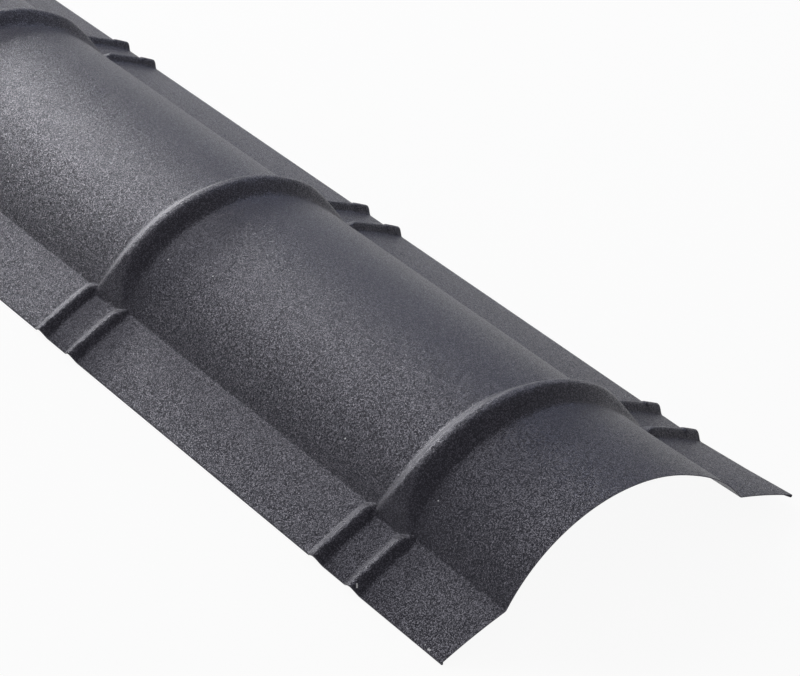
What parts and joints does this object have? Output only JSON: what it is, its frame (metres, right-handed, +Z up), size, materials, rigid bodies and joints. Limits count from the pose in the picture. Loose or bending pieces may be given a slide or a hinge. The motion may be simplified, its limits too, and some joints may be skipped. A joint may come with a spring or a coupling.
{
  "type": "roof ridge cap",
  "caption": "Half-round roof ridge cap pressed from one coated steel sheet, with sloping hemmed flanges and cross beads that stiffen it and mark the laps.",
  "frame": {"origin": "on the floor, under the middle of the length and width", "axes": "+Y along the ridge from the show end to the lap end, +Z up, +X across the ridge"},
  "size_m": [0.2752, 2, 0.08],
  "materials": {
    "coated_steel": "matt, finely textured dark grey coating"
  },
  "bodies": {
    "root": {"ridge_cap": "coated_steel"}
  },
  "joints": []
}
